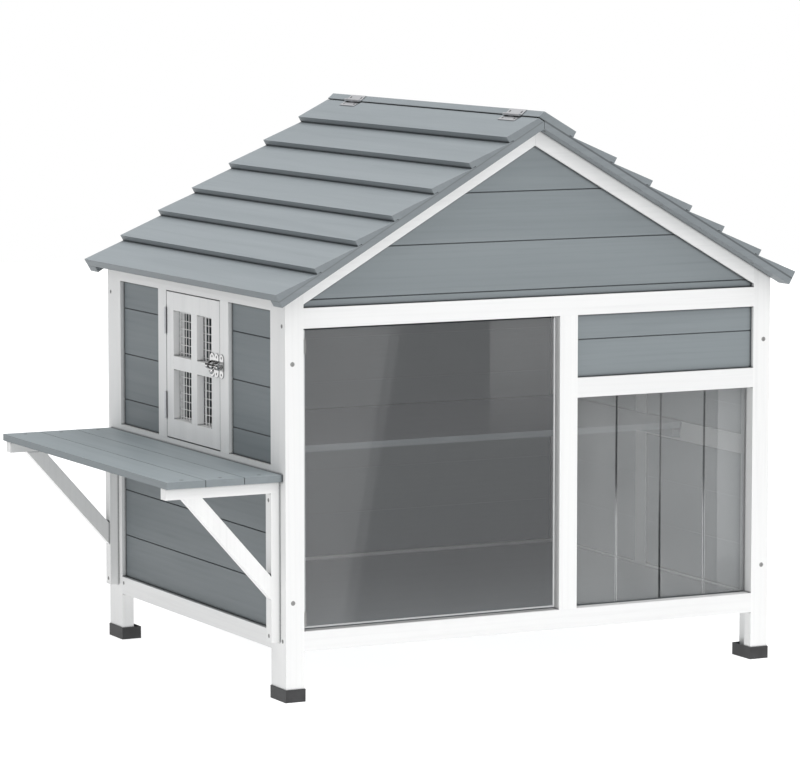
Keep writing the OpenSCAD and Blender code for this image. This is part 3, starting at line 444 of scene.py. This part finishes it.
def strip(i):
    """A hanging strip of flexible PVC: flat where it is clamped, bowed and turned a little towards its free end."""
    rnd = random.Random(40 + i)
    x0 = STRIP_X0 + i * STRIP_P
    nx, nz, wid = 20, 90, STRIP_W[i]
    bow = [2.1, -1.7, 2.4, -1.4][i]
    turn = [-2.6, 2.0, -1.5, 1.8][i]
    belly = [3.2, 2.2, 3.6, 2.6][i]
    bm = bmesh.new()
    uvl = bm.loops.layers.uv.new("across")
    rows = []
    for j in range(nz + 1):
        z = TOP + (BOTTOM - TOP) * j / nz
        s = max(0.0, (PIVOT - z) / (PIVOT - BOTTOM))
        e = s * s * (3 - 2 * s)
        row = []
        for k in range(nx + 1):
            u = k / nx * 2 - 1
            x = x0 + wid * (k / nx)
            y = 24.15 + e * (bow * (1 - u * u) + turn * u * 0.55) + math.sin(s * math.pi) * belly * 0.45
            y += e * 0.35 * math.sin(5.2 * s + 2.1 * i + u)
            # the edges curl a little on the way down
            x -= e * 0.5 * u * abs(u) * 0.8
            y = max(y, 23.9) if s > 0 else y
            row.append(bm.verts.new(P(x, y, z)))
        rows.append(row)
    for j in range(nz):
        for k in range(nx):
            face = bm.faces.new((rows[j][k], rows[j + 1][k], rows[j + 1][k + 1], rows[j][k + 1]))
            for loop, (du, dv) in zip(face.loops, ((0, 0), (0, 1), (1, 1), (1, 0))):
                loop[uvl].uv = ((k + du) / nx, 1 - (j + dv) / nz)
    me = bpy.data.meshes.new(f"pvc_strip_{i + 1}")
    bm.to_mesh(me)
    bm.free()
    o = bpy.data.objects.new(f"pvc_strip_{i + 1}", me)
    SCENE.collection.objects.link(o)
    so = o.modifiers.new("thick", "SOLIDIFY")
    so.thickness = STRIP_T / 1000
    so.offset = 0
    for f in me.polygons:
        f.use_smooth = True
    me.materials.append(M[f"pvc_strip_{i + 1}"])
    bpy.context.view_layer.objects.active = o
    o.select_set(True)
    bpy.ops.object.modifier_apply(modifier="thick")
    o.select_set(False)
    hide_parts(f"curtain_strip_{i + 1}")
    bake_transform(o)
    return o


strips = [strip(i) for i in range(4)]
heads = cad("curtain_strip_heads")
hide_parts("curtain_strip_heads")

# ---------------------------------------------------------------- floor, light and camera
bm = bmesh.new()
R = 9.0
n = 24
ring = [bm.verts.new((R * math.cos(2 * math.pi * k / n), R * math.sin(2 * math.pi * k / n), 0)) for k in range(n)]
bm.faces.new(ring)
me = bpy.data.meshes.new("studio_floor")
bm.to_mesh(me)
bm.free()
floor = bpy.data.objects.new("studio_floor", me)
SCENE.collection.objects.link(floor)
t = Tree("studio_floor")
fl = t.noise(t.coords((3, 3, 3)), 1.0, 2)
s = t.n("ShaderNodeBsdfPrincipled")
t.l(t.mix(fl, (0.40, 0.40, 0.40), (0.42, 0.42, 0.42)), s.inputs["Base Color"])
s.inputs["Emission Color"].default_value = (1, 1, 1, 1)
s.inputs["Emission Strength"].default_value = 0.88
s.inputs["Roughness"].default_value = 0.9
s.inputs["Specular IOR Level"].default_value = 0.1
t.l(s.outputs[0], t.out.inputs["Surface"])
me.materials.append(t.m)

world = bpy.data.worlds.new("studio") if SCENE.world is None else SCENE.world
SCENE.world = world
world.use_nodes = True
wt = world.node_tree
wt.nodes.clear()
wo = wt.nodes.new("ShaderNodeOutputWorld")
lit = wt.nodes.new("ShaderNodeBackground")
seen = wt.nodes.new("ShaderNodeBackground")
lp = wt.nodes.new("ShaderNodeLightPath")
mx = wt.nodes.new("ShaderNodeMixShader")
lit.inputs["Color"].default_value = (0.97, 0.985, 1.0, 1)
lit.inputs["Strength"].default_value = 0.50
seen.inputs["Color"].default_value = (1, 1, 1, 1)
seen.inputs["Strength"].default_value = 1.0
# shiny metal sees a dark band round the studio's horizon, which gives it contrast
wtc = wt.nodes.new("ShaderNodeTexCoord")
wsep = wt.nodes.new("ShaderNodeSeparateXYZ")
wr = wt.nodes.new("ShaderNodeValToRGB")
wr.color_ramp.elements[0].position, wr.color_ramp.elements[0].color = 0.02, (0.03, 0.03, 0.03, 1)
wr.color_ramp.elements[1].position, wr.color_ramp.elements[1].color = 0.55, (1.0, 1.0, 1.0, 1)
for pos_, v_ in ((0.22, 0.05), (0.30, 0.55)):
    el_ = wr.color_ramp.elements.new(pos_)
    el_.color = (v_, v_, v_, 1)
glo = wt.nodes.new("ShaderNodeBackground")
glo.inputs["Strength"].default_value = 1.0
gmx = wt.nodes.new("ShaderNodeMixShader")
wt.links.new(wtc.outputs["Generated"], wsep.inputs[0])
wt.links.new(wsep.outputs[2], wr.inputs["Fac"])
wt.links.new(wr.outputs["Color"], glo.inputs["Color"])
wt.links.new(lp.outputs["Is Glossy Ray"], gmx.inputs[0])
wt.links.new(lit.outputs[0], gmx.inputs[1])
wt.links.new(glo.outputs[0], gmx.inputs[2])
wt.links.new(lp.outputs["Is Camera Ray"], mx.inputs[0])
wt.links.new(gmx.outputs[0], mx.inputs[1])
wt.links.new(seen.outputs[0], mx.inputs[2])
wt.links.new(mx.outputs[0], wo.inputs["Surface"])


def sun(name, towards, strength, angle, color=(1, 1, 1)):
    d = bpy.data.lights.new(name, "SUN")
    d.energy = strength
    d.angle = math.radians(angle)
    d.color = color
    o = bpy.data.objects.new(name, d)
    SCENE.collection.objects.link(o)
    o.rotation_euler = Vector(towards).to_track_quat("Z", "Y").to_euler()
    return o


sun("key", (0.06, -0.42, 0.90), 1.60, 60)
sun("front", (0.25, -0.95, 0.16), 0.60, 50)
sun("left", (-1.0, -0.15, 0.22), 0.26, 50)

cam_d = bpy.data.cameras.new("camera")
cam = bpy.data.objects.new("camera", cam_d)
SCENE.collection.objects.link(cam)
cam_d.sensor_fit = "HORIZONTAL"
cam_d.sensor_width = 36.0
cam_d.lens = 186.298
cam_d.clip_end = 100
cam.location = P(-3101.98, -6527.62, 1384.55)
cam.rotation_euler = (math.radians(90 - 6.4599), 0, math.radians(-27.0153))
SCENE.camera = cam
SCENE.view_settings.view_transform = "Standard"
SCENE.view_settings.look = "None"
